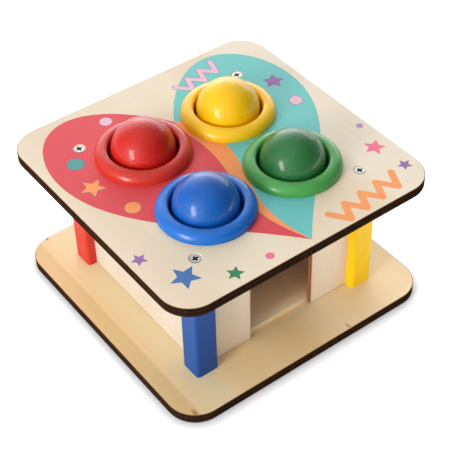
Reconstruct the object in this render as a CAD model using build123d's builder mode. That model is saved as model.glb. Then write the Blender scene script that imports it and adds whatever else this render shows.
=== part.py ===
from build123d import *
from math import cos, radians, tan
import os

os.makedirs("parts", exist_ok=True)

# Ball pounding bench.
# A ball waits in a collar on the top. A blow drives it down through the rubber grip
# ring, it lands on the ramp between the walls and rolls out of the front doorway.
# Millimetres, +Z up. The origin is the middle of the base's underside, and the
# doorway faces -Y.

# Balls
ball_diameter = 36
ball_rest_rise = 3  # ball's centre above the top's face while it waits

# Collars, turned rings with a spigot that drops into the top
collar_bore_gap = 1.6  # all round the ball
collar_wall = 7.4
collar_height = 5.9
collar_edge_height = 1
collar_inner_round = 1.7
collar_crest_flat = 0.6
collar_spacing = 3.6  # between neighbouring collars
spigot_wall = 2.4
spigot_depth = 2.8

# Rubber grip rings, glued under the spigots
grip_thickness = 3
grip_lip_round = 0.5
grip_ball_gap = 0.3

# Top and base
top_thickness = 6
base_thickness = 6
panel_overhang = 22.7  # leg's outer face to the panel's edge
panel_corner_radius = 17.5
panel_edge_break = 0.3

# Legs
leg_width = 14
leg_height = 75.5
leg_edge_round = 2
chamber_gap = 0.5  # falling ball to the leg beside it

# Walls, let into grooves in the legs
wall_thickness = 3
groove_depth = 3
fit_gap = 0.1  # play in every glued joint
doorway_side_gap = 3.25  # each side of a ball that rolls out
doorway_head_gap = 14

# Ramp and the batten that carries its high end
ramp_thickness = 3
ramp_angle = 15
ramp_end_gap = 0.2
ramp_side_gap = 0.5
batten_depth = 8
batten_height = 10

# Countersunk cross-head screws
screw_length = 20
screw_diameter = 3
screw_head_diameter = 6
screw_head_rim = 0.3
screw_tip_length = 2.5
screw_sink = 0.2  # head below the panel's face
screw_play = 0.05
pilot_spare = 1
recess_span = 3.6
recess_width = 1.05
recess_depth = 1.1
screw_head_angle = 90

# Colour of each ball and collar, and of each leg, with the corner it stands in
ball_corners = {
    "blue": (-1, -1),
    "green": (1, -1),
    "yellow": (1, 1),
    "red": (-1, 1),
}
leg_corners = {
    "blue": (-1, -1),
    "yellow": (1, -1),
    "green": (1, 1),
    "red": (-1, 1),
}

# Plan, worked out from the balls outwards
ball_radius = ball_diameter / 2
bore_radius = ball_radius + collar_bore_gap
spigot_radius = bore_radius + spigot_wall
collar_radius = bore_radius + collar_wall
hole_radius = spigot_radius + fit_gap
ball_offset = collar_radius + collar_spacing / 2
leg_inner_face = ball_offset + ball_radius + chamber_gap
leg_offset = leg_inner_face + leg_width / 2
panel_side = 2 * (leg_inner_face + leg_width + panel_overhang)
wall_inner_face = leg_offset - wall_thickness / 2
wall_length = 2 * (leg_inner_face + groove_depth - fit_gap)

# Heights
top_underside = base_thickness + leg_height
top_face = top_underside + top_thickness
ball_height = top_face + ball_rest_rise

# Screws
shank_radius = screw_diameter / 2
head_radius = screw_head_diameter / 2
pilot_radius = shank_radius + screw_play
head_flare = tan(radians(screw_head_angle / 2))
head_foot = screw_head_rim + (head_radius - shank_radius) / head_flare
countersink_radius = head_radius + (screw_sink + screw_head_rim) * head_flare + fit_gap


def panel(thickness, underside):
    # Board with rounded corners, its long edges just broken
    with BuildPart() as board:
        with BuildSketch(Plane.XY.offset(underside)):
            RectangleRounded(panel_side, panel_side, panel_corner_radius)
        extrude(amount=thickness)
        rims = board.edges().filter_by(Plane.XY)
        chamfer(rims, panel_edge_break)
    return board.part


def leg_places():
    # The middles of the four legs, where the screws go too
    return GridLocations(2 * leg_offset, 2 * leg_offset, 2, 2)


# Base panel, screwed up into the legs from below
with BuildPart() as base_panel:
    add(panel(base_thickness, 0))
    with Locations(Location((0, 0, 0), (180, 0, 0))):
        with leg_places():
            CounterSinkHole(
                pilot_radius,
                countersink_radius,
                depth=base_thickness,
                counter_sink_angle=screw_head_angle,
            )
base_panel.part.label = "base_panel"
export_step(base_panel.part, "parts/base_panel.step")

# Top panel, with a hole for each collar's spigot
with BuildPart() as top_panel:
    add(panel(top_thickness, top_underside))
    with Locations((0, 0, top_face)):
        with leg_places():
            CounterSinkHole(
                pilot_radius,
                countersink_radius,
                depth=top_thickness,
                counter_sink_angle=screw_head_angle,
            )
        with GridLocations(2 * ball_offset, 2 * ball_offset, 2, 2):
            Hole(hole_radius, depth=top_thickness)
top_panel.part.label = "top_panel"
export_step(top_panel.part, "parts/top_panel.step")

# Legs: square posts with rounded corners, two wall grooves and a pilot hole at each end
top_pilot_depth = screw_length + screw_sink - top_thickness + pilot_spare
base_pilot_depth = screw_length + screw_sink - base_thickness + pilot_spare
groove_width = wall_thickness + 2 * fit_gap
groove_middle = leg_inner_face + groove_depth / 2

for colour, (x_side, y_side) in leg_corners.items():
    leg_x = x_side * leg_offset
    leg_y = y_side * leg_offset
    with BuildPart() as leg:
        with BuildSketch(Plane.XY.offset(base_thickness)):
            with Locations((leg_x, leg_y)):
                Rectangle(leg_width, leg_width)
        extrude(amount=leg_height)
        fillet(leg.edges().filter_by(Axis.Z), leg_edge_round)
        with BuildSketch(Plane.XY.offset(base_thickness)):
            with Locations((x_side * groove_middle, leg_y)):
                Rectangle(groove_depth, groove_width)
            with Locations((leg_x, y_side * groove_middle)):
                Rectangle(groove_width, groove_depth)
        extrude(amount=leg_height, mode=Mode.SUBTRACT)
        with Locations((leg_x, leg_y, top_underside)):
            Hole(pilot_radius, depth=top_pilot_depth)
        with Locations(Location((leg_x, leg_y, base_thickness), (180, 0, 0))):
            Hole(pilot_radius, depth=base_pilot_depth)
    leg.part.label = f"leg_{colour}"
    export_step(leg.part, f"parts/leg_{colour}.step")

# Front wall, with the doorway the balls roll out of
doorway_width = ball_diameter + 2 * doorway_side_gap
doorway_height = ball_diameter + doorway_head_gap

with BuildPart() as front_wall:
    with BuildSketch(Plane.XZ.offset(leg_offset)):
        with Locations((0, base_thickness)):
            Rectangle(wall_length, leg_height, align=(Align.CENTER, Align.MIN))
            Rectangle(
                doorway_width,
                doorway_height,
                align=(Align.CENTER, Align.MIN),
                mode=Mode.SUBTRACT,
            )
    extrude(amount=wall_thickness / 2, both=True)
front_wall.part.label = "front_wall"
export_step(front_wall.part, "parts/front_wall.step")

# The three plain walls
plain_walls = {
    "back": Plane.XZ.offset(-leg_offset),
    "left": Plane.YZ.offset(-leg_offset),
    "right": Plane.YZ.offset(leg_offset),
}
for side, wall_plane in plain_walls.items():
    with BuildPart() as wall:
        with BuildSketch(wall_plane):
            with Locations((0, base_thickness)):
                Rectangle(wall_length, leg_height, align=(Align.CENTER, Align.MIN))
        extrude(amount=wall_thickness / 2, both=True)
    wall.part.label = f"{side}_wall"
    export_step(wall.part, f"parts/{side}_wall.step")

# Ramp: stands on its lower front edge, just inside the doorway, and rises to the back wall.
# Both ends are cut upright.
slope = radians(ramp_angle)
ramp_width = 2 * (leg_inner_face - ramp_side_gap)
ramp_front = -wall_inner_face + ramp_end_gap
ramp_back = wall_inner_face - ramp_end_gap
ramp_back_height = base_thickness + (ramp_back - ramp_front) * tan(slope)
ramp_end_height = ramp_thickness / cos(slope)

with BuildPart() as ramp:
    with BuildSketch(Plane.YZ):
        with BuildLine():
            Polyline(
                (ramp_front, base_thickness),
                (ramp_back, ramp_back_height),
                (ramp_back, ramp_back_height + ramp_end_height),
                (ramp_front, base_thickness + ramp_end_height),
                close=True,
            )
        make_face()
    extrude(amount=ramp_width / 2, both=True)
ramp.part.label = "ramp"
export_step(ramp.part, "parts/ramp.step")

# Batten on the back wall, its upper face cut to the ramp's slope
batten_front = wall_inner_face - batten_depth
batten_back_height = base_thickness + (wall_inner_face - ramp_front) * tan(slope)
batten_front_height = base_thickness + (batten_front - ramp_front) * tan(slope)
batten_foot = batten_back_height - batten_height

with BuildPart() as ramp_batten:
    with BuildSketch(Plane.YZ):
        with BuildLine():
            Polyline(
                (batten_front, batten_foot),
                (wall_inner_face, batten_foot),
                (wall_inner_face, batten_back_height),
                (batten_front, batten_front_height),
                close=True,
            )
        make_face()
    extrude(amount=ramp_width / 2, both=True)
ramp_batten.part.label = "ramp_batten"
export_step(ramp_batten.part, "parts/ramp_batten.step")

# Collars, grip rings and balls, one set in each corner
crest_width = collar_wall - collar_inner_round - collar_crest_flat
crest_rise = collar_height - collar_edge_height
inner_crest_radius = bore_radius + collar_inner_round
outer_crest_radius = inner_crest_radius + collar_crest_flat

for colour, (x_side, y_side) in ball_corners.items():
    ball_x = x_side * ball_offset
    ball_y = y_side * ball_offset
    ball_axis = Axis((ball_x, ball_y, 0), (0, 0, 1))
    section = Plane((ball_x, ball_y, top_face), x_dir=(1, 0, 0), z_dir=(0, -1, 0))

    # Collar: low turned ring, domed outwards from a crest beside the bore
    with BuildPart() as collar:
        with BuildSketch(section):
            with BuildLine():
                Polyline(
                    (bore_radius, collar_height - collar_inner_round),
                    (bore_radius, -spigot_depth),
                    (spigot_radius, -spigot_depth),
                    (spigot_radius, 0),
                    (collar_radius, 0),
                    (collar_radius, collar_edge_height),
                )
                EllipticalCenterArc(
                    (outer_crest_radius, collar_edge_height),
                    crest_width,
                    crest_rise,
                    arc_size=90,
                )
                Line(
                    (outer_crest_radius, collar_height),
                    (inner_crest_radius, collar_height),
                )
                CenterArc(
                    (inner_crest_radius, collar_height - collar_inner_round),
                    collar_inner_round,
                    90,
                    90,
                )
            make_face()
        revolve(axis=ball_axis)
    collar.part.label = f"collar_{colour}"
    export_step(collar.part, f"parts/collar_{colour}.step")

    # Grip ring: its seat follows the ball, and its lip holds the ball until it is struck
    with BuildPart() as grip_ring:
        with Locations((ball_x, ball_y, top_face - spigot_depth)):
            Cylinder(
                spigot_radius,
                grip_thickness,
                align=(Align.CENTER, Align.CENTER, Align.MAX),
            )
        with Locations((ball_x, ball_y, ball_height)):
            Sphere(ball_radius + grip_ball_gap, mode=Mode.SUBTRACT)
        lip = grip_ring.edges().filter_by(GeomType.CIRCLE).sort_by(SortBy.RADIUS)[0]
        fillet(lip, grip_lip_round)
    grip_ring.part.label = f"grip_ring_{colour}"
    export_step(grip_ring.part, f"parts/grip_ring_{colour}.step")

    with BuildPart() as ball:
        with Locations((ball_x, ball_y, ball_height)):
            Sphere(ball_radius)
    ball.part.label = f"ball_{colour}"
    export_step(ball.part, f"parts/ball_{colour}.step")

# One screw, head up, with the head's face at the origin
with BuildPart() as screw:
    with BuildSketch(Plane.XZ):
        with BuildLine():
            Polyline(
                (0, 0),
                (head_radius, 0),
                (head_radius, -screw_head_rim),
                (shank_radius, -head_foot),
                (shank_radius, screw_tip_length - screw_length),
                (0, -screw_length),
                close=True,
            )
        make_face()
    revolve(axis=Axis.Z)
    with BuildSketch():
        Rectangle(recess_span, recess_width)
        Rectangle(recess_width, recess_span)
    extrude(amount=-recess_depth, mode=Mode.SUBTRACT)

# Top screws, down into the legs' heads, and base screws, up into their feet
with BuildPart() as top_screws:
    with Locations((0, 0, top_face - screw_sink)):
        with leg_places():
            add(screw.part)
top_screws.part.label = "top_screws"
export_step(top_screws.part, "parts/top_screws.step")

with BuildPart() as base_screws:
    with Locations(Location((0, 0, screw_sink), (180, 0, 0))):
        with leg_places():
            add(screw.part)
base_screws.part.label = "base_screws"
export_step(base_screws.part, "parts/base_screws.step")

# Travel of the balls: down to the ramp, and up until clear of the collar's crest
ramp_surface = base_thickness + ramp_end_height - ramp_front * tan(slope)
rest_on_ramp = ramp_surface + (ball_radius + grip_ball_gap) / cos(slope)
front_drop = ball_height - (rest_on_ramp - ball_offset * tan(slope))
back_drop = ball_height - (rest_on_ramp + ball_offset * tan(slope))
ball_lift = collar_height + ball_radius - ball_rest_rise
print(f"panel side {panel_side:.2f}, top face {top_face:.2f}, leg offset {leg_offset:.2f}")
print(f"front balls fall {front_drop:.2f}, back balls {back_drop:.2f}")
print(f"balls clear the collars {ball_lift:.2f} above rest")
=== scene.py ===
import math

import bmesh
import bpy
from mathutils import Matrix, Quaternion, Vector


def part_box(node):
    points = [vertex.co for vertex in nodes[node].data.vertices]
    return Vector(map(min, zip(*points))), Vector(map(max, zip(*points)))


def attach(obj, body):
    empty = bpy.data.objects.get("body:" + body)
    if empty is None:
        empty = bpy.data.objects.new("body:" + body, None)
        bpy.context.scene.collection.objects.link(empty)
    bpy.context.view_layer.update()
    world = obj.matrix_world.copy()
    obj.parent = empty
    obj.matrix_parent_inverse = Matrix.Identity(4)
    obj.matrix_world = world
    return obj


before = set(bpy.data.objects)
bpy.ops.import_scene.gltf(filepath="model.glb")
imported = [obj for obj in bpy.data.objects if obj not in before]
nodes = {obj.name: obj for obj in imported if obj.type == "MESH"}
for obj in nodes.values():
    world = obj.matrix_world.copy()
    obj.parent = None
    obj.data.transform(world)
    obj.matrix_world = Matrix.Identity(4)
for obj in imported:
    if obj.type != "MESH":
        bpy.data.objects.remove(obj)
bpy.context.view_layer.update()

# Ball pounding bench, doorway towards -Y, Z up, in metres.
# Patterns and the print are laid out in millimetres, as on a workshop drawing.
mm = 0.001
colours = ("blue", "green", "yellow", "red")
scene = bpy.context.scene
scene.view_settings.view_transform = "Standard"
print("frame loaded,", len(nodes), "CAD nodes")


def linear(hexColour):
    # sRGB hex to the linear colour that shaders work in
    channels = [int(hexColour[i:i + 2], 16) / 255 for i in (1, 3, 5)]
    curve = [c / 12.92 if c <= 0.04045 else ((c + 0.055) / 1.055) ** 2.4 for c in channels]
    return (*curve, 1)


def addNode(tree, kind, settings={}, links={}):
    # Settings are attributes or socket values, links say what feeds which socket:
    # an output, or a node for its first output in use
    made = tree.nodes.new("ShaderNode" + kind)
    for key, value in settings.items():
        if isinstance(key, str) and hasattr(made, key):
            setattr(made, key, value)
        else:
            made.inputs[key].default_value = linear(value) if isinstance(value, str) else value
    for key, source in links.items():
        if isinstance(source, bpy.types.Node):
            source = next(output for output in source.outputs if output.enabled)
        tree.links.new(source, made.inputs[key])
    return made


def startMaterial(name, shader):
    # A material with its shader joined to the output
    material = bpy.data.materials.new(name)
    material.use_nodes = True
    tree = material.node_tree
    tree.nodes.clear()
    surface = addNode(tree, "BsdfPrincipled", shader)
    addNode(tree, "OutputMaterial", {}, {"Surface": surface})
    return material, tree, surface


def dress(nodeName, material):
    # Gives a CAD node its finish
    mesh = nodes[nodeName].data
    mesh.materials.clear()
    mesh.materials.append(material)


# Camera: the photograph's own viewpoint, a long lens from the front left, looking down
cameraSet = {
    "lens": 101.36,  # millimetres
    "sensor": 36,  # millimetres wide
    "aim": (-0.0049, -0.0118, 0.05),
    "distance": 0.7027,
    "heading": 35.72,  # degrees, from +Y towards +X
    "lookDown": 43.23,
    "roll": -1.70,
}


def makeCamera(look):
    heading, down, roll = (math.radians(look[key]) for key in ("heading", "lookDown", "roll"))
    forward = Vector((
        math.sin(heading) * math.cos(down),
        math.cos(heading) * math.cos(down),
        -math.sin(down),
    ))
    level = Vector((math.cos(heading), -math.sin(heading), 0))
    right = level * math.cos(roll) + level.cross(forward) * math.sin(roll)
    turned = Matrix((right, right.cross(forward), -forward)).transposed()
    lens = bpy.data.cameras.new("photo_camera")
    lens.lens = look["lens"]
    lens.sensor_width = look["sensor"]
    camera = bpy.data.objects.new("photo_camera", lens)
    camera.matrix_world = turned.to_4x4()
    camera.location = Vector(look["aim"]) - forward * look["distance"]
    scene.collection.objects.link(camera)
    scene.camera = camera


makeCamera(cameraSet)
print("camera placed")

# Plywood. A board's axes are across the grain, along it and through the thickness.
# Strips are darker or paler bands, of wood figure and of painted light and shade: middle,
# width, share and tone.
# Knots and other patches: x, y, half width, half length and tone; the ramp's patch is painted
# light.
# The laser's marks start at its cuts: each is the rectangle that it followed, as middle,
# half sides and corner radius.
outline = ((0, 0), (84, 84), 17.5)
wallCut = ((0, 43.75), (50.2, 37.75), 0)
doorwayCut = ((0, 31), (21.25, 25), 0)
rampTilt = math.radians(15)
boards = {
    "top_panel": {
        "across": (1, 0, 0),
        "along": (0, 1, 0),
        "through": (0, 0, 1),
        "pale": "#EADBBF",
        "warm": "#E4D1B3",
        "bandWidth": 26,
        # a paler strip along the right side: painted light, where the top is lit brighter
        "strips": [(72, 34, 0.5, "#EFE4D2")],
        "cuts": [outline],
    },
    "base_panel": {
        "across": (1, 0, 0),
        "along": (0, 1, 0),
        "through": (0, 0, 1),
        "pale": "#F2D8A9",
        "warm": "#E6C692",
        "bandWidth": 30,
        "strips": [
            (-80, 12, 0.6, "#CDAB74"),
            (-72.6, 2, 0.2, "#E4D5B8"),
            (-61, 18, 0.5, "#E0D4AE"),
            # these two are painted shade and painted light: darker across the middle, where the
            # top shades the base's rim, and paler towards the right
            (-16, 64, 0.4, "#D8B884"),
            (56, 90, 0.45, "#E2D4B8"),
        ],
        "knotsAndLitPatches": [
            (-69, 82.5, 0.9, 1.4, "#6B432B"),
            (-76, -79, 1.4, 3.6, "#A06C3A"),
            (27.3, -81.6, 1, 2.8, "#B5844A"),
        ],
        "cuts": [outline],
    },
    "front_wall": {
        "across": (1, 0, 0),
        "through": (0, 1, 0),
        # paler than the other walls' tones: painted light on the front faces, the plywood being
        # the same
        "pale": "#F2E1C8",
        "warm": "#ECD5B7",
        "cuts": [wallCut, doorwayCut],
    },
    "back_wall": {"across": (1, 0, 0), "through": (0, 1, 0), "cuts": [wallCut]},
    "left_wall": {"across": (0, 1, 0), "through": (1, 0, 0), "cuts": [wallCut]},
    "right_wall": {"across": (0, 1, 0), "through": (1, 0, 0), "cuts": [wallCut]},
    "ramp": {
        "across": (1, 0, 0),
        "along": (0, math.cos(rampTilt), math.sin(rampTilt)),
        "through": (0, -math.sin(rampTilt), math.cos(rampTilt)),
        "pale": "#F5CDA2",
        "warm": "#EFBB8E",
        "bandWidth": 18,
        "knotsAndLitPatches": [(0, -49.6, 70, 8, "#F8E1B4")],  # painted light: paler at the front, where light falls in through the doorway
    },
}
wallLook = {
    "along": (0, 0, 1),
    # darker than the front wall's tones: painted shade on the side and back walls of the same
    # plywood
    "pale": "#D2C6B5",
    "warm": "#CCBEA9",
    "bandWidth": 14,
    "scorch": "#6B4A30",
    "char": "#86502E",  # thin board, cut fast, so only browned
    "charPly": "#A06A45",
    "charBrown": "#BE875D",
}
plywoodLook = {
    "strips": [],
    "knotsAndLitPatches": [],
    "cuts": [],
    "bandStretch": 12,  # a band's length for its width
    "bandRange": (0.3, 0.72),  # its tone comes in between these values of the noise
    "stripEdge": (0.4, 0.6),  # a strip fades between these shares of its width
    "fibre": (0.9, 24, 24),  # coarser than real birch fibre, so that it shows in the render
    "fibreRange": (0.42, 0.75),
    "fibreShare": 0.3,
    "pore": (0.45, 3.2, 3.2),
    "poreRange": (0.66, 0.78),
    "poreTone": "#B98F63",
    "poreShare": 0.2,
    "knotEdge": (0.2, 1.2),  # a knot fades between these shares of its half sides
    "knotShare": 0.8,
    "scorch": "#A87850",
    "scorchWidth": 0.8,  # brown halo beside a laser cut
    "scorchShare": 0.6,
    "char": "#25180F",
    "charEnd": (0.6, 0.9),  # it ends between these distances from the cut
    "charFacing": (0.8, 0.95),  # 0 is square to the board's face, 1 is the face itself
    "charPly": "#35231A",
    "plyThickness": 1.2,
    "plyRange": (0.35, 0.75),  # one ply's tone turns into the next one's between these
    "charBrown": "#644029",
    "brownFacing": (0.3, 0.65),  # the slant between edge and face is browner
    "striation": (0.45, 0.45, 9),  # the beam's marks, upright on the cut edge
    "striationRange": (0.5, 0.8),
    "striationShare": 0.5,
    "striationDepth": 0.07,
    "fibreDepth": 0.015,
    "roughness": 0.6,
    "index": 1.4,
}


def cutDistance(tree, place, cut):
    # Millimetres from the outline of a rectangle with round corners
    (x, y), (halfX, halfY), corner = cut
    centred = addNode(tree, "VectorMath", {"operation": "SUBTRACT", 1: (x, y, 0)}, {0: place})
    folded = addNode(tree, "VectorMath", {"operation": "ABSOLUTE"}, {0: centred})
    core = (halfX - corner, halfY - corner, 0)
    past = addNode(tree, "VectorMath", {"operation": "SUBTRACT", 1: core}, {0: folded})
    flat = addNode(tree, "VectorMath", {"operation": "MULTIPLY", 1: (1, 1, 0)}, {0: past})
    outside = addNode(tree, "VectorMath", {"operation": "MAXIMUM", 1: (0, 0, 0)}, {0: flat})
    reach = addNode(tree, "VectorMath", {"operation": "LENGTH"}, {0: outside})
    sides = addNode(tree, "SeparateXYZ", {}, {0: past}).outputs
    nearer = addNode(tree, "Math", {"operation": "MAXIMUM"}, {0: sides[0], 1: sides[1]})
    inside = addNode(tree, "Math", {"operation": "MINIMUM", 1: 0}, {0: nearer})
    signed = addNode(tree, "Math", {"operation": "ADD"}, {0: reach, 1: inside})
    rounded = addNode(tree, "Math", {"operation": "SUBTRACT", 1: corner}, {0: signed})
    return addNode(tree, "Math", {"operation": "ABSOLUTE"}, {0: rounded})


def plywood(name, board):
    # Birch plywood, sanded and laser cut: satin pale faces with long fine grain, charred edges
    look = {**plywoodLook, **board}
    shader = {"Roughness": look["roughness"], "IOR": look["index"]}
    material, tree, surface = startMaterial(name, shader)
    coords = addNode(tree, "TexCoord").outputs

    # Place in millimetres along the board's own axes, and how squarely its face is met
    place = addNode(tree, "CombineXYZ")
    for socket, axis in enumerate(("across", "along", "through")):
        measured = {"operation": "DOT_PRODUCT", 1: Vector(look[axis]) / mm}
        run = addNode(tree, "VectorMath", measured, {0: coords["Object"]})
        tree.links.new(run.outputs["Value"], place.inputs[socket])
    axes = addNode(tree, "SeparateXYZ", {}, {0: place}).outputs
    squareness = {"operation": "DOT_PRODUCT", 1: look["through"]}
    tilt = addNode(tree, "VectorMath", squareness, {0: coords["Normal"]})
    facing = addNode(tree, "Math", {"operation": "ABSOLUTE"}, {0: tilt})

    # Noises stretched to a size across, along and through the grain
    width = look["bandWidth"]
    length = width * look["bandStretch"]
    grains = {}
    for grain, size, detail in (
        ("bands", (width, length, length), 2),
        ("fibre", look["fibre"], 4),
        ("pores", look["pore"], 2),
        ("streaks", look["striation"], 3),
    ):
        scaled = addNode(tree, "VectorMath", {"operation": "DIVIDE", 1: size}, {0: place})
        noise = {"Scale": 1, "Detail": detail}
        grains[grain] = addNode(tree, "TexNoise", noise, {"Vector": scaled})

    # Faces: broad bands, then strips, fibre, pores, every knot and patch, and the brown halo of
    # a laser cut; some strips and the ramp's patch are painted light and shade.
    # A layer is what it follows, two values of that, its share at each of them, and its tone.
    start, end = look["bandRange"]
    bands = {"interpolation_type": "SMOOTHSTEP", 1: start, 2: end}
    banded = addNode(tree, "MapRange", bands, {0: grains["bands"]})
    tones = {"data_type": "RGBA", 6: look["pale"], 7: look["warm"]}
    face = addNode(tree, "Mix", tones, {0: banded})
    layers = []
    for middle, stripWidth, share, tone in look["strips"]:
        beside = addNode(tree, "Math", {"operation": "SUBTRACT", 1: middle}, {0: axes[0]})
        span = addNode(tree, "Math", {"operation": "ABSOLUTE"}, {0: beside})
        start, end = look["stripEdge"]
        layers.append((span, (stripWidth * start, stripWidth * end), (share, 0), tone))
    layers.append((grains["fibre"], look["fibreRange"], (0, look["fibreShare"]), look["warm"]))
    poreShare = (0, look["poreShare"])
    layers.append((grains["pores"], look["poreRange"], poreShare, look["poreTone"]))
    for x, y, halfWidth, halfLength, tone in look["knotsAndLitPatches"]:
        moved = {"operation": "SUBTRACT", 1: (x, y, 0)}
        around = addNode(tree, "VectorMath", moved, {0: place})
        shrunk = {"operation": "MULTIPLY", 1: (1 / halfWidth, 1 / halfLength, 0)}
        scaled = addNode(tree, "VectorMath", shrunk, {0: around})
        reach = addNode(tree, "VectorMath", {"operation": "LENGTH"}, {0: scaled})
        layers.append((reach, look["knotEdge"], (look["knotShare"], 0), tone))
    near = None
    for cut in look["cuts"]:
        distance = cutDistance(tree, place, cut)
        if near:
            distance = addNode(tree, "Math", {"operation": "MINIMUM"}, {0: near, 1: distance})
        near = distance
    if near:
        halo = (0, look["scorchWidth"])
        layers.append((near, halo, (look["scorchShare"], 0), look["scorch"]))
    for source, (start, end), (low, high), tone in layers:
        spread = {"interpolation_type": "SMOOTHSTEP", 1: start, 2: end, 3: low, 4: high}
        share = addNode(tree, "MapRange", spread, {0: source})
        face = addNode(tree, "Mix", {"data_type": "RGBA", 7: tone}, {0: share, 6: face})
    height = grains["fibre"]
    relief = look["fibreDepth"]

    # Cut edges: char with its plies, striations and a brown upper line; bare if not lasered
    if near:
        plies = {"operation": "PINGPONG", 1: look["plyThickness"]}
        folded = addNode(tree, "Math", plies, {0: axes[2]})
        streaks = grains["streaks"]
        char = None
        for source, (start, end), high, tone in (
            (folded, look["plyRange"], 1, look["charPly"]),
            (streaks, look["striationRange"], look["striationShare"], look["charBrown"]),
            (facing, look["brownFacing"], 1, look["charBrown"]),
        ):
            spread = {"interpolation_type": "SMOOTHSTEP", 1: start, 2: end, 3: 0, 4: high}
            share = addNode(tree, "MapRange", spread, {0: source})
            under = {6: char} if char else {}
            layer = {"data_type": "RGBA", 6: look["char"], 7: tone}
            char = addNode(tree, "Mix", layer, {0: share, **under})
        start, end = look["charFacing"]
        edge = {"interpolation_type": "SMOOTHSTEP", 1: start, 2: end, 3: 1, 4: 0}
        upright = addNode(tree, "MapRange", edge, {0: facing})
        start, end = look["charEnd"]
        beside = addNode(tree, "MapRange", {1: start, 2: end, 3: 1, 4: 0}, {0: near})
        onEdge = addNode(tree, "Math", {"operation": "MULTIPLY"}, {0: upright, 1: beside})
        deep = {"operation": "MULTIPLY", 1: look["striationDepth"] / relief}
        scored = addNode(tree, "Math", deep, {0: streaks})
        joined = {0: onEdge, 2: grains["fibre"], 3: scored}
        height = addNode(tree, "Mix", {"data_type": "FLOAT"}, joined)
    bump = addNode(tree, "Bump", {"Strength": 1, "Distance": relief * mm}, {"Height": height})
    tree.links.new(face.outputs[2], surface.inputs["Base Color"])
    tree.links.new(bump.outputs[0], surface.inputs["Normal"])
    if near:  # char is porous and has no gloss
        soot = {"Color": char, "Normal": bump}
        charred = addNode(tree, "BsdfDiffuse", {"Roughness": 1}, soot)
        both = addNode(tree, "MixShader", {}, {0: onEdge, 1: surface, 2: charred})
        tree.links.new(both.outputs[0], surface.outputs[0].links[0].to_socket)
    return material


for nodeName, board in boards.items():
    if nodeName.endswith("wall"):
        board = {**wallLook, **board}
    dress(nodeName, plywood("birch plywood, " + nodeName.replace("_", " "), board))
dress("ramp_batten", bpy.data.materials["birch plywood, ramp"])
print("plywood done")

# Paint: lacquer sprayed on turned and planed beech
ballPaint = {"blue": "#0A5BB0", "green": "#2A7038", "yellow": "#FFC800", "red": "#C91E11"}
collarPaint = {"blue": "#146BC4", "green": "#4AA04C", "yellow": "#FFC917", "red": "#C93020"}
legPaint = {"blue": "#07488F", "green": "#2A8340", "yellow": "#FFCC08", "red": "#C93425"}
lacquerLook = {
    "ball": {
        "index": 1.3,
        "roughness": 0.3,
        "coat": 0.42,
        "coatRoughness": 0.13,
        "peel": 0.6,  # pitch of the orange peel
        "peelDepth": 0.27,
        "mottle": 5.0,
        "mottleFade": 0.92,  # brightness where the paint is thinnest
    },
    "collar": {
        "index": 1.4,
        "roughness": 0.32,
        "coat": 0.2,
        "coatRoughness": 0.12,
        "peel": 1.1,
        "peelDepth": 0.02,
        "mottle": 6.0,
        "mottleFade": 0.92,
    },
    "leg": {
        "index": 1.34,
        "roughness": 0.45,
        "coat": 0.02,
        "coatRoughness": 0.3,
        "peel": 0.9,
        "peelDepth": 0.015,
        "mottle": 7.0,
        "mottleFade": 0.92,
    },
}


def lacquer(name, paint, look):
    # Sprayed lacquer: a soft gloss over a solid colour, with fine orange peel
    shader = {
        "Roughness": look["roughness"],
        "IOR": look["index"],
        "Coat Weight": look["coat"],
        "Coat Roughness": look["coatRoughness"],
    }
    material, tree, surface = startMaterial(name, shader)
    place = addNode(tree, "TexCoord").outputs["Object"]
    cloud = {"Scale": 1 / (look["mottle"] * mm), "Detail": 3}
    mottle = addNode(tree, "TexNoise", cloud, {"Vector": place})
    thinner = {1: 0.3, 2: 0.75, 3: 1, 4: look["mottleFade"]}
    fade = addNode(tree, "MapRange", thinner, {0: mottle})
    tint = {"operation": "SCALE", 0: linear(paint)[:3]}
    shade = addNode(tree, "VectorMath", tint, {"Scale": fade})
    orange = {"Scale": 1 / (look["peel"] * mm), "Detail": 2}
    peel = addNode(tree, "TexNoise", orange, {"Vector": place})
    bump = {"Strength": 1, "Distance": look["peelDepth"] * mm}
    raised = addNode(tree, "Bump", bump, {"Height": peel})
    tree.links.new(shade.outputs[0], surface.inputs["Base Color"])
    tree.links.new(raised.outputs[0], surface.inputs["Normal"])
    return material


for paints, piece in ((ballPaint, "ball"), (collarPaint, "collar"), (legPaint, "leg")):
    for colour in colours:
        finish = lacquer(colour + " lacquer, " + piece, paints[colour], lacquerLook[piece])
        dress(piece + "_" + colour, finish)
print("lacquer done")

rubberLook = {
    "colour": "#0E0E10",
    "bloom": "#161617",
    "roughness": 0.7,
    "index": 1.52,
    "cloud": 4,
    "grain": 0.8,
    "grainDepth": 0.02,
}
zincLook = {
    "colour": "#C4C0B9",
    "stain": "#A3A09A",
    # colour of the painted shade deep in the cross recess
    "recess": "#09090A",
    "recessShadeDepth": (0.005, 0.05),  # the painted shade deepens between these depths
    "roughness": 0.48,
    "cloud": 2.1,
    "grain": 0.7,
    "grainDepth": 0.01,
}


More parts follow.
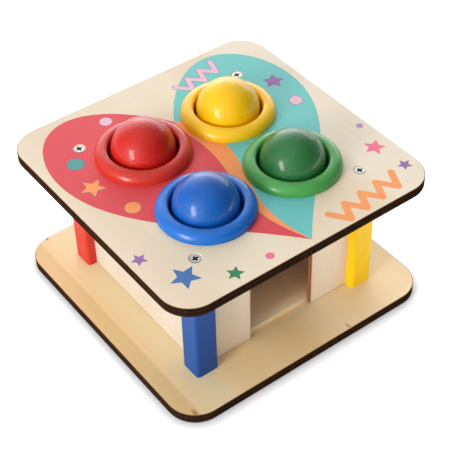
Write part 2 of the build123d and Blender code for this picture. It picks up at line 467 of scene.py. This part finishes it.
def mouldedRubber(name, look):
    # Black natural rubber, moulded: matt, with a faint grey bloom
    shader = {"Roughness": look["roughness"], "IOR": look["index"]}
    material, tree, surface = startMaterial(name, shader)
    place = addNode(tree, "TexCoord").outputs["Object"]
    cloud = addNode(tree, "TexNoise", {"Scale": 1 / (look["cloud"] * mm)}, {"Vector": place})
    dusty = addNode(tree, "MapRange", {1: 0.4, 2: 0.8}, {0: cloud})
    tones = {"data_type": "RGBA", 6: look["colour"], 7: look["bloom"]}
    bloom = addNode(tree, "Mix", tones, {0: dusty})
    grain = addNode(tree, "TexNoise", {"Scale": 1 / (look["grain"] * mm)}, {"Vector": place})
    bump = {"Strength": 1, "Distance": look["grainDepth"] * mm}
    raised = addNode(tree, "Bump", bump, {"Height": grain})
    tree.links.new(bloom.outputs[2], surface.inputs["Base Color"])
    tree.links.new(raised.outputs[0], surface.inputs["Normal"])
    return material


def zincPlate(name, look, headHeight, side):
    # Bright zinc on steel: a soft silver head, with painted shade down in its cross recess
    shader = {"Metallic": 1, "Roughness": look["roughness"]}
    material, tree, surface = startMaterial(name, shader)
    place = addNode(tree, "TexCoord").outputs["Object"]
    cloud = addNode(tree, "TexNoise", {"Scale": 1 / (look["cloud"] * mm)}, {"Vector": place})
    stained = addNode(tree, "MapRange", {1: 0.4, 2: 0.8}, {0: cloud})
    tones = {"data_type": "RGBA", 6: look["colour"], 7: look["stain"]}
    silver = addNode(tree, "Mix", tones, {0: stained})
    height = addNode(tree, "SeparateXYZ", {}, {0: place}).outputs[2]
    below = {"operation": "MULTIPLY_ADD", 1: -side / mm, 2: side * headHeight / mm}
    depth = addNode(tree, "Math", below, {0: height})
    # painted shade: the colour turns dark with depth into the recess
    start, end = look["recessShadeDepth"]
    recessShading = addNode(tree, "MapRange", {1: start, 2: end}, {0: depth})
    dark = {"data_type": "RGBA", 7: look["recess"]}
    steel = addNode(tree, "Mix", dark, {0: recessShading, 6: silver})
    grain = addNode(tree, "TexNoise", {"Scale": 1 / (look["grain"] * mm)}, {"Vector": place})
    bump = {"Strength": 1, "Distance": look["grainDepth"] * mm}
    raised = addNode(tree, "Bump", bump, {"Height": grain})
    tree.links.new(steel.outputs[2], surface.inputs["Base Color"])
    tree.links.new(raised.outputs[0], surface.inputs["Normal"])
    return material


rubber = mouldedRubber("moulded black rubber", rubberLook)
for colour in colours:
    dress("grip_ring_" + colour, rubber)
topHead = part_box("top_screws")[1].z
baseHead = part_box("base_screws")[0].z
dress("top_screws", zincPlate("zinc-plated steel, top screws", zincLook, topHead, 1))
dress("base_screws", zincPlate("zinc-plated steel, base screws", zincLook, baseHead, -1))
print("rubber and steel done")

# Print on the top: a heart in two colours with a ribbon, loose stars, dots and zigzags
inkColours = {
    "coral": "#DD4248",
    "teal": "#6BC4BE",
    "orange": "#F89A55",
    "blue": "#3E6FAE",
    "green": "#2B8052",
    "purple": "#9562A6",
    "pink": "#F0708F",
    "rose": "#E8BACA",
    "mauve": "#B38DBA",
    "sea": "#4F9993",
    "plum": "#7E5174",
}
printSet = {
    "soak": 0.05,  # the ink reaches this far into the wood
    "film": 0.02,
    "rimFilm": 0.028,
    "overprint": 0.035,  # motifs printed over the heart
    "rim": 0.3,  # darker line round them, where the inks overlap
    "grain": (0.9, 24, 24),  # the wood's fibre, telling through
    "grainFade": 0.94,
    "grainDepth": 0.01,
    "roughness": 0.55,
    "index": 1.42,
}
heart = {
    "halfWidth": 79,
    "fullness": 2.1,  # 3 would give the slimmest sides
    "stretch": 5.5,  # millimetres to one unit of the curve, in height
    "rise": 13.5,
    "steps": 80,
    "ribbonWidth": 10.5,
    "ribbonTaper": 0.55,  # below 1 it is widest nearer to the notch
    "ribbonSway": 6,
}
pen = {
    "starWaist": 0.47,  # inner radius as a share of the outer one
    "starRim": 1.5,  # its points need a wider rim than its sides
    "dotSteps": 48,
    "bendSteps": 12,
}
clearing = {
    "radii": {"collar_": 22.1, "leg_": 3.6},  # round each ball hole and each screw head
    "depth": 4,
    "steps": 64,
}
# Stars: x, y, radius, turn in degrees. Dots: x, y, radius.
# Zigzags: start x, y, heading in degrees, pitch, corners, swing, stroke.
motifs = {
    "wood": [
        ("blue", "star", (-66, -62, 8.4, 12)),
        ("green", "star", (-45, -75, 5, 30)),
        ("purple", "star", (-77, -38, 4.6, 4)),
        ("pink", "star", (73, -45, 6.6, 22)),
        ("purple", "star", (76, -66, 4.4, 0)),
        ("pink", "dot", (-24, -76, 2.4)),
        ("mauve", "dot", (79, -26, 2)),
        ("orange", "zigzag", (19, -76, 6, 12, 9, 5.2, 4)),
    ],
    "heart": [
        ("orange", "star", (-66, 22, 7.4, 14)),
        ("sea", "dot", (-63, 44, 4.8)),
        ("rose", "dot", (-30, 65, 3.6)),
        ("orange", "dot", (-58, -4, 4.4)),
        ("rose", "zigzag", (20, 62, 14, 10.5, 7, 4.6, 3.2)),
        ("purple", "star", (67, 36, 6.2, 40)),
        ("rose", "dot", (66, 14, 3.8)),
    ],
}
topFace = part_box("top_panel")[1].z


def printingInk(name, colour):
    # Ink cured on plywood: even satin colour, the fibre just telling through
    shader = {"Roughness": printSet["roughness"], "IOR": printSet["index"]}
    material, tree, surface = startMaterial(name, shader)
    place = addNode(tree, "TexCoord").outputs["Object"]
    grain = {"operation": "DIVIDE", 1: Vector(printSet["grain"]) * mm}
    scaled = addNode(tree, "VectorMath", grain, {0: place})
    fibre = addNode(tree, "TexNoise", {"Scale": 1, "Detail": 4}, {"Vector": scaled})
    thinner = {1: 0.35, 2: 0.75, 3: 1, 4: printSet["grainFade"]}
    fade = addNode(tree, "MapRange", thinner, {0: fibre})
    tint = {"operation": "SCALE", 0: linear(colour)[:3]}
    shade = addNode(tree, "VectorMath", tint, {"Scale": fade})
    bump = {"Strength": 1, "Distance": printSet["grainDepth"] * mm}
    raised = addNode(tree, "Bump", bump, {"Height": fibre})
    tree.links.new(shade.outputs[0], surface.inputs["Base Color"])
    tree.links.new(raised.outputs[0], surface.inputs["Normal"])
    return material


inks = {}
for inkName, colour in inkColours.items():
    inks[inkName] = printingInk(inkName + " printing ink", colour)


def heartSide(side):
    # One side of the heart, from the notch round the lobe to the tip: the usual heart curve,
    # a sum of four cosines
    points = []
    for step in range(heart["steps"] + 1):
        turn = math.pi * step / heart["steps"]
        x = side * heart["halfWidth"] * math.sin(turn) ** heart["fullness"]
        curve = 13 * math.cos(turn) - 5 * math.cos(2 * turn)
        curve -= 2 * math.cos(3 * turn) + math.cos(4 * turn)
        points.append((x, curve * heart["stretch"] + heart["rise"]))
    return points


def ribbonSide(side):
    # One edge of the ribbon, which sways down from the notch and narrows to the tip
    notch = heartSide(1)[0][1]
    tip = heartSide(1)[-1][1]
    points = []
    for step in range(heart["steps"] + 1):
        share = step / heart["steps"]
        middle = heart["ribbonSway"] * math.sin(2 * math.pi * share)
        swell = math.sin(math.pi * share ** heart["ribbonTaper"])
        half = heart["ribbonWidth"] / 2 * swell
        points.append((middle + side * half, notch + (tip - notch) * share))
    return points


def star(x, y, radius, turn, grow=0):
    # Five points
    points = []
    for step in range(10):
        angle = math.radians(90 + turn + 36 * step)
        reach = radius if step % 2 == 0 else radius * pen["starWaist"]
        reach += grow * pen["starRim"]
        points.append((x + reach * math.cos(angle), y + reach * math.sin(angle)))
    return points


def dot(x, y, radius, grow=0):
    angles = [math.tau * step / pen["dotSteps"] for step in range(pen["dotSteps"])]
    reach = radius + grow
    return [(x + reach * math.cos(angle), y + reach * math.sin(angle)) for angle in angles]


def zigzag(x, y, heading, pitch, corners, swing, stroke, grow=0):
    # A pen's zigzag: there and back along its corners, with half a stroke to the right.
    # The line is round at its ends and outside each turn, and sharp inside it.
    ahead = Vector((math.cos(math.radians(heading)), math.sin(math.radians(heading))))
    side = Vector((-ahead.y, ahead.x))
    path = []
    for corner in range(corners):
        path.append(Vector((x, y)) + ahead * pitch / 2 * corner + side * swing * (-1) ** corner)
    loop = path + path[-2:0:-1]
    half = stroke / 2 + grow
    points = []
    for here, before, after in zip(loop, loop[-1:] + loop[:-1], loop[1:] + loop[:1]):
        came, goes = (here - before).normalized(), (after - here).normalized()
        right = Vector((came.y, -came.x))
        bend = math.atan2(came.cross(goes), came.dot(goes)) % math.tau
        if bend > math.pi + 0.001:  # turns to the right, not straight back
            edge = right + Vector((goes.y, -goes.x))
            points.append(tuple(here + edge * half * 2 / edge.length_squared))
            continue
        for step in range(pen["bendSteps"] + 1):
            angle = bend * step / pen["bendSteps"]
            turned = right * math.cos(angle) + came * math.sin(angle)
            points.append(tuple(here + turned * half))
    return points


outlines = {"star": star, "dot": dot, "zigzag": zigzag}


def makeHoles(look):
    # Cutter for the ball holes and screw heads, where there is no ink
    cutter = bmesh.new()
    for colour in colours:
        for piece, radius in look["radii"].items():
            low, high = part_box(piece + colour)
            middle = ((low.x + high.x) / 2, (low.y + high.y) / 2, topFace)
            bmesh.ops.create_cone(
                cutter,
                cap_ends=True,
                segments=look["steps"],
                radius1=radius * mm,
                radius2=radius * mm,
                depth=look["depth"] * mm,
                matrix=Matrix.Translation(middle),
            )
    mesh = bpy.data.meshes.new("holes")
    cutter.to_mesh(mesh)
    cutter.free()
    made = bpy.data.objects.new("holes", mesh)
    scene.collection.objects.link(made)
    return made


holes = makeHoles(clearing)


def printFilm(name, shapes, thickness, inkName):
    # A thin film of ink in each shape, cut clear of the holes
    layer = bmesh.new()
    foot = topFace - printSet["soak"] * mm
    rise = (printSet["soak"] + thickness) * mm
    for shape in shapes:
        corners = [layer.verts.new((x * mm, y * mm, foot)) for x, y in shape]
        raised = bmesh.ops.extrude_face_region(layer, geom=[layer.faces.new(corners)])["geom"]
        lifted = [part for part in raised if isinstance(part, bmesh.types.BMVert)]
        bmesh.ops.translate(layer, verts=lifted, vec=(0, 0, rise))
    bmesh.ops.recalc_face_normals(layer, faces=layer.faces)
    mesh = bpy.data.meshes.new(name)
    layer.to_mesh(mesh)
    layer.free()
    mesh.materials.append(inks[inkName])
    piece = bpy.data.objects.new(name, mesh)
    scene.collection.objects.link(piece)
    clear = piece.modifiers.new("clear of the holes", "BOOLEAN")
    clear.object = holes
    clear.operation = "DIFFERENCE"
    clear.solver = "EXACT"
    bpy.context.view_layer.update()
    whole = piece.evaluated_get(bpy.context.evaluated_depsgraph_get())
    piece.data = bpy.data.meshes.new_from_object(whole)
    piece.modifiers.clear()
    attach(piece, "bench")


film = printSet["film"]
printFilm("print_heart_coral", [heartSide(-1) + ribbonSide(-1)[-2:0:-1]], film, "coral")
printFilm("print_heart_teal", [heartSide(1) + ribbonSide(1)[-2:0:-1]], film, "teal")
printFilm("print_ribbon", [ribbonSide(-1) + ribbonSide(1)[-2:0:-1]], film, "orange")
for ground, placed in motifs.items():
    thickness = film if ground == "wood" else printSet["overprint"]
    for inkName in sorted({motif[0] for motif in placed}):
        shapes = [outlines[kind](*spot) for made, kind, spot in placed if made == inkName]
        printFilm("print_" + ground + "_" + inkName, shapes, thickness, inkName)
rims = [outlines[kind](*spot, grow=printSet["rim"]) for made, kind, spot in motifs["heart"]]
printFilm("print_rims", rims, printSet["rimFilm"], "plum")
bpy.data.objects.remove(holes)
print("print done")

# Studio: a white sweep, a soft box low on the left, a glow behind, a small lit card near the
# front right corner, and pale walls round it
floorSet = {
    "half": 3,
    "cells": 8,
    "drop": 0.1 * mm,
    "colour": "#F2F2F3",
    "lift": 0.42,  # extra white for the camera and for gloss
    "contact": 7 * mm,  # reach of the painted contact shadow beside the base
    "contactShadowTone": "#66666A",
    "contactSamples": 16,
}
lamps = {
    "side_soft_box": {
        "heading": -103,  # degrees, from +Y towards +X
        "height": 14,  # degrees above the level of the top
        "distance": 1.0,
        "turn": 20,  # degrees, about its own axis
        "size": (0.26, 0.52),
        "radiance": 16.6,
    },
    "back_soft_box": {
        "heading": 50,
        "height": 15,
        "distance": 1.1,
        "turn": 0,
        "size": (1.30, 0.46),
        "radiance": 2.5,
    },
    "front_card": {
        "heading": 135,
        "height": -9,
        "distance": 0.25,
        "turn": 0,
        "size": (0.14, 0.07),
        "radiance": 3.0,
    },
}
room = {  # how bright the room is towards each side: direction, narrowness, strength
    "left": ((-0.9, 0.1, 0.42), 3, 0.84),
    "left_front": ((-0.77, -0.6, 0.2), 3, 0.68),
    "right": ((1, 0, 0), 2, 0.12),
    "back_right": ((0.35, 0.88, 0.3), 6, 3.3),
    "above": ((0, 0, 1), 4, 0.86),
}


def makeFloor(look):
    grid = bmesh.new()
    cells = look["cells"]
    bmesh.ops.create_grid(grid, x_segments=cells, y_segments=cells, size=look["half"])
    mesh = bpy.data.meshes.new("studio_floor")
    grid.to_mesh(mesh)
    grid.free()
    floor = bpy.data.objects.new("studio_floor", mesh)
    floor.location.z = -look["drop"]
    scene.collection.objects.link(floor)
    # White painted board that photographs white, and still takes the bench's shadow; the soft
    # shadow right beside the base is painted into its colour from ambient occlusion
    material = bpy.data.materials.new("white painted board")
    material.use_nodes = True
    tree = material.node_tree
    tree.nodes.clear()
    # painted shadow: ambient occlusion darkens the board's colour near the base
    contact = {"Distance": look["contact"], "samples": look["contactSamples"]}
    near = addNode(tree, "AmbientOcclusion", contact)
    shade = {"data_type": "RGBA", 6: look["contactShadowTone"], 7: look["colour"]}
    paint = addNode(tree, "Mix", shade, {0: near.outputs["AO"]})
    diffuse = addNode(tree, "BsdfDiffuse", {}, {"Color": paint})
    path = addNode(tree, "LightPath").outputs
    seen = path["Is Camera Ray"]
    for ray in ("Is Glossy Ray", "Is Transmission Ray"):
        seen = addNode(tree, "Math", {"operation": "MAXIMUM"}, {0: seen, 1: path[ray]})
    lift = addNode(tree, "Math", {"operation": "MULTIPLY", 1: look["lift"]}, {0: seen})
    glow = addNode(tree, "Emission", {}, {"Color": paint, "Strength": lift})
    both = addNode(tree, "AddShader", {}, {0: diffuse, 1: glow})
    addNode(tree, "OutputMaterial", {}, {"Surface": both})
    mesh.materials.append(material)


def makeLamp(name, look):
    # Area lamp set by how bright its face looks from the bench
    lamp = bpy.data.lights.new(name, "AREA")
    lamp.shape = "RECTANGLE"
    lamp.size, lamp.size_y = look["size"]
    lamp.energy = look["radiance"] * math.pi * lamp.size * lamp.size_y
    heading, height = math.radians(look["heading"]), math.radians(look["height"])
    away = Vector((
        math.sin(heading) * math.cos(height),
        math.cos(heading) * math.cos(height),
        math.sin(height),
    ))
    holder = bpy.data.objects.new(name, lamp)
    holder.location = away * look["distance"] + Vector((0, 0, topFace))
    turned = Quaternion((0, 0, 1), math.radians(look["turn"]))
    holder.rotation_euler = (away.to_track_quat("Z", "Y") @ turned).to_euler()
    scene.collection.objects.link(holder)


def makeRoom(sides):
    # White to the camera; as light and in gloss, each side has its own strength
    world = bpy.data.worlds.new("studio room")
    world.use_nodes = True
    scene.world = world
    tree = world.node_tree
    tree.nodes.clear()
    direction = addNode(tree, "TexCoord").outputs["Generated"]
    total = None
    for side, (axis, narrowness, strength) in sides.items():
        towards = {"operation": "DOT_PRODUCT", 1: axis}
        facing = addNode(tree, "VectorMath", towards, {0: direction})
        ahead = addNode(tree, "Math", {"operation": "MAXIMUM", 1: 0}, {0: facing})
        share = addNode(tree, "Math", {"operation": "POWER", 1: narrowness}, {0: ahead})
        added = {"operation": "MULTIPLY_ADD", "name": side, 1: strength, 2: 0}
        total = addNode(tree, "Math", added, {0: share, **({2: total} if total else {})})
    light = addNode(tree, "Background", {"Color": "#FAFBFF"}, {"Strength": total})
    white = addNode(tree, "Background", {"Color": "#FFFFFF", "Strength": 1})
    camera = addNode(tree, "LightPath").outputs["Is Camera Ray"]
    both = addNode(tree, "MixShader", {}, {0: camera, 1: light, 2: white})
    addNode(tree, "OutputWorld", {}, {"Surface": both})


makeFloor(floorSet)
for name, look in lamps.items():
    makeLamp(name, look)
makeRoom(room)
print("studio done")
